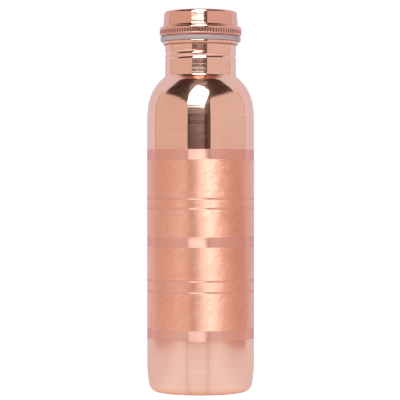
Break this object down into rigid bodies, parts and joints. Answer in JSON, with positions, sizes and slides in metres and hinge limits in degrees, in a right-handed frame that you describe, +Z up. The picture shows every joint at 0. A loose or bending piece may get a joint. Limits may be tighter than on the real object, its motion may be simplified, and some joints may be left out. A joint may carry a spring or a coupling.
{
  "type": "water bottle",
  "caption": "Slim copper water bottle with a turned and brushed body, rolled neck thread, silicone seal and knurled screw lid.",
  "frame": {"origin": "centre of the standing ring, on the surface the bottle stands on", "axes": "+Z up along the bottle's axis, -Y towards the front, where the neck thread runs out"},
  "size_m": [0.075, 0.075, 0.2655],
  "materials": {
    "body_copper": "copper, mirror polished at the neck, shoulder and foot, cross-brushed satin in the middle, turned satin bands",
    "lid_copper": "copper, polished with fine turning lines",
    "plug_copper": "copper, turned",
    "silicone": "translucent grey silicone, matt"
  },
  "bodies": {
    "bottle": {"bottle_body": "body_copper"},
    "seal": {"gasket": "silicone"},
    "lid": {"cap_shell": "lid_copper", "cap_plug": "plug_copper"}
  },
  "joints": [
    {"name": "lid_rise", "type": "slide", "parent": "bottle", "child": "seal", "axis": [0, 0, 1], "range_m": [0, 0.0174]},
    {"name": "lid_turn", "type": "hinge", "parent": "seal", "child": "lid", "pos_m": [0, 0, 0.2472], "axis": [0, 0, 1], "range_deg": [0, 1800]}
  ],
  "couplings": [
    {"joint": "lid_rise", "follows": "lid_turn", "m_per_rad": 0.00054908}
  ]
}
